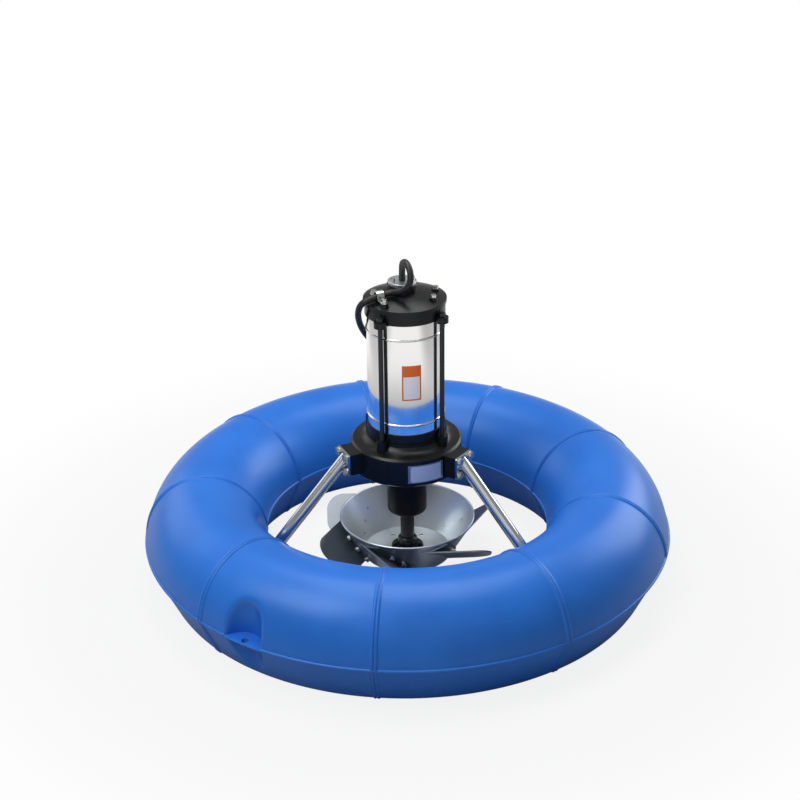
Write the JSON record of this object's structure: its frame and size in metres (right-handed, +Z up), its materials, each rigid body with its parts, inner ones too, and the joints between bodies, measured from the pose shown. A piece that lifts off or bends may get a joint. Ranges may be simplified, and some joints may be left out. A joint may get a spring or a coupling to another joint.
{
  "type": "surge aerator",
  "caption": "Floating surge aerator: hollow moulded float ring with three tube arms carrying an upright motor that spins a bladed cone impeller, with a cable.",
  "frame": {"origin": "on the floor under the centre of the float ring, on the motor's axis", "axes": "+Z up along the shaft, camera of the picture looks along +Y, +X to its right"},
  "size_m": [1.1082, 1.3421, 0.6972],
  "materials": {
    "float_plastic": "satin",
    "plug_plastic": "satin",
    "arm_steel": "satin",
    "fastener_steel": "satin",
    "black_paint": "satin",
    "polished_steel": "gloss",
    "bowl_steel": "satin",
    "blade_steel": "satin",
    "dark_steel": "satin",
    "bearing_steel": "satin",
    "gasket_rubber": "matte",
    "cable_rubber": "matte",
    "tie_plastic": "matte",
    "core_insulation": "satin",
    "plate_aluminium": "satin",
    "label_film": "satin",
    "core_laminations": "satin",
    "winding_copper": "satin",
    "seal_ceramic": "satin"
  },
  "bodies": {
    "frame": {"arm_foot_left": "arm_steel", "arm_foot_rear": "arm_steel", "arm_foot_right": "arm_steel", "arm_head_plate_left": "arm_steel", "arm_head_plate_rear": "arm_steel", "arm_head_plate_right": "arm_steel", "arm_tube_left": "arm_steel", "arm_tube_rear": "arm_steel", "arm_tube_right": "arm_steel", "base_housing": "black_paint", "cable": "cable_rubber", "cable_clamp": "arm_steel", "cable_coil": "cable_rubber", "cable_cores": "core_insulation", "cable_tail": "cable_rubber", "cap_screws": "fastener_steel", "coil_ties": "tie_plastic", "float_plug": "plug_plastic", "float_ring": "float_plastic", "foot_bolts": "fastener_steel", "foot_nuts": "fastener_steel", "gland_bush": "cable_rubber", "gland_plate": "black_paint", "gland_screws": "fastener_steel", "head_plate_bolts": "fastener_steel", "lower_bearing_outer_race": "bearing_steel", "lower_end_winding": "winding_copper", "motor_shell": "polished_steel", "nameplate": "plate_aluminium", "nameplate_rivets": "fastener_steel", "seal_housing": "black_paint", "seal_housing_screws": "fastener_steel", "seal_seat": "seal_ceramic", "shell_gasket_lower": "gasket_rubber", "shell_gasket_upper": "gasket_rubber", "shell_label": "label_film", "stator_core": "core_laminations", "tie_rod_nuts": "dark_steel", "tie_rods": "dark_steel", "top_cap": "black_paint", "upper_bearing_outer_race": "bearing_steel", "upper_end_shield": "black_paint", "upper_end_winding": "winding_copper"},
    "impeller": {"blade_bolts": "fastener_steel", "hub_bolts": "fastener_steel", "impeller_blade_1": "blade_steel", "impeller_blade_2": "blade_steel", "impeller_blade_3": "blade_steel", "impeller_blade_4": "blade_steel", "impeller_blade_5": "blade_steel", "impeller_blade_6": "blade_steel", "impeller_bowl": "bowl_steel", "impeller_hub": "black_paint", "impeller_nut": "fastener_steel", "impeller_washer": "fastener_steel", "lower_bearing_inner_race": "bearing_steel", "rotor_core": "core_laminations", "seal_rotor": "seal_ceramic", "shaft": "dark_steel", "upper_bearing_inner_race": "bearing_steel"}
  },
  "joints": [
    {"name": "impeller_spin", "type": "hinge", "parent": "frame", "child": "impeller", "pos_m": [0, 0, 0.2], "axis": [0, 0, 1], "continuous": true}
  ]
}
